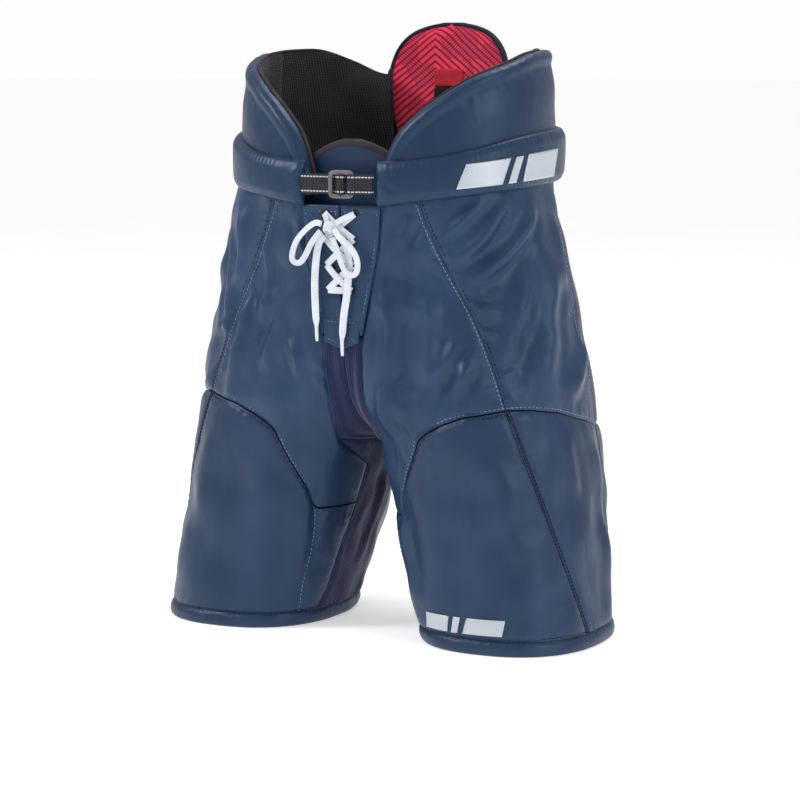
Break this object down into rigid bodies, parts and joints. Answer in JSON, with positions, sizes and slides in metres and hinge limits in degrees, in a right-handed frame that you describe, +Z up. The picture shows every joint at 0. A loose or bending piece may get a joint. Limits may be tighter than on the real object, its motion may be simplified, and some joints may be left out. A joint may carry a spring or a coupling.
{
  "type": "ice hockey pants",
  "caption": "Padded ice hockey pants with hip wings, spine and belly pads, belted waist with buckle strap, laced fly and two short padded legs.",
  "frame": {"origin": "middle of the base: the centre, in X and Y, of the standing pants without the lace bow and its tails, at the height of the flat hem foot", "axes": "+Z up; -Y is the front, where the fly is; +X is the wearer's left. The halves mirror each other in the YZ plane apart from the strap, the bow and the label"},
  "size_m": [0.462, 0.2772, 0.6],
  "materials": {
    "aglet_plastic": "glossy clear-white plastic",
    "body_nylon": "semi-gloss woven nylon",
    "buckle_plastic": "satin moulded plastic",
    "eyelet_metal": "black painted metal",
    "foam": "matt closed-cell foam",
    "guard_plastic": "matt moulded plastic",
    "label": "woven label",
    "lace_fabric": "white flat braid",
    "mesh_lining": "matt ribbed mesh",
    "stretch_knit": "matt stretch knit",
    "striped_lining": "matt printed knit",
    "webbing": "woven webbing",
    "wing_nylon": "semi-gloss woven nylon"
  },
  "bodies": {
    "waist": {"fly_patch": "body_nylon", "lace_aglet_left": "aglet_plastic", "lace_aglet_right": "aglet_plastic", "lace_crossings": "lace_fabric", "lace_loop_left": "lace_fabric", "lace_loop_right": "lace_fabric", "lace_tail_left": "lace_fabric", "lace_tail_right": "lace_fabric", "left_belt": "wing_nylon", "left_crotch_gusset": "stretch_knit", "left_eyelet_1": "eyelet_metal", "left_eyelet_2": "eyelet_metal", "left_eyelet_3": "eyelet_metal", "left_eyelet_4": "eyelet_metal", "left_fly_placket": "body_nylon", "left_front_panel": "body_nylon", "left_hip_plate": "guard_plastic", "left_seat_panel": "body_nylon", "left_side_panel": "body_nylon", "left_side_stretch_strip": "stretch_knit", "left_strap": "webbing", "left_wing_cover": "wing_nylon", "left_wing_foam": "foam", "left_wing_lining": "mesh_lining", "right_belt": "wing_nylon", "right_crotch_gusset": "stretch_knit", "right_eyelet_1": "eyelet_metal", "right_eyelet_2": "eyelet_metal", "right_eyelet_3": "eyelet_metal", "right_eyelet_4": "eyelet_metal", "right_fly_placket": "body_nylon", "right_front_panel": "body_nylon", "right_hip_plate": "guard_plastic", "right_seat_panel": "body_nylon", "right_side_panel": "body_nylon", "right_side_stretch_strip": "stretch_knit", "right_strap": "webbing", "right_wing_cover": "wing_nylon", "right_wing_foam": "foam", "right_wing_lining": "mesh_lining", "spine_pad_cover": "wing_nylon", "spine_pad_foam": "foam", "spine_pad_label": "label", "spine_pad_lining": "striped_lining", "tailbone_pad": "foam"},
    "left_leg": {"left_thigh_panel": "body_nylon", "left_outer_leg_panel": "body_nylon", "left_back_leg_panel": "body_nylon", "left_inner_leg_gusset": "stretch_knit", "left_hem": "body_nylon", "left_thigh_guard": "guard_plastic"},
    "right_leg": {"right_thigh_panel": "body_nylon", "right_outer_leg_panel": "body_nylon", "right_back_leg_panel": "body_nylon", "right_inner_leg_gusset": "stretch_knit", "right_hem": "body_nylon", "right_thigh_guard": "guard_plastic"},
    "buckle": {"belt_buckle": "buckle_plastic"},
    "belly_pad": {"belly_pad_cover": "wing_nylon", "belly_pad_foam": "foam"}
  },
  "joints": [
    {"name": "left_hip_flex", "type": "hinge", "parent": "waist", "child": "left_leg", "pos_m": [0.1, 0, 0.285], "axis": [-1, 0, 0], "range_deg": [-12, 40], "deforming": ["left_front_panel", "left_side_panel", "left_side_stretch_strip", "left_seat_panel", "left_crotch_gusset"]},
    {"name": "right_hip_flex", "type": "hinge", "parent": "waist", "child": "right_leg", "pos_m": [-0.1, 0, 0.285], "axis": [-1, 0, 0], "range_deg": [-12, 40], "deforming": ["right_front_panel", "right_side_panel", "right_side_stretch_strip", "right_seat_panel", "right_crotch_gusset"]},
    {"name": "buckle_slide", "type": "slide", "parent": "waist", "child": "buckle", "axis": [1, 0, 0], "range_m": [-0.008, 0.008], "deforming": ["left_strap", "right_strap"]},
    {"name": "belly_pad_tilt", "type": "hinge", "parent": "waist", "child": "belly_pad", "pos_m": [0, -0.1, 0.385], "axis": [-1, 0, 0], "range_deg": [0, 20]}
  ]
}
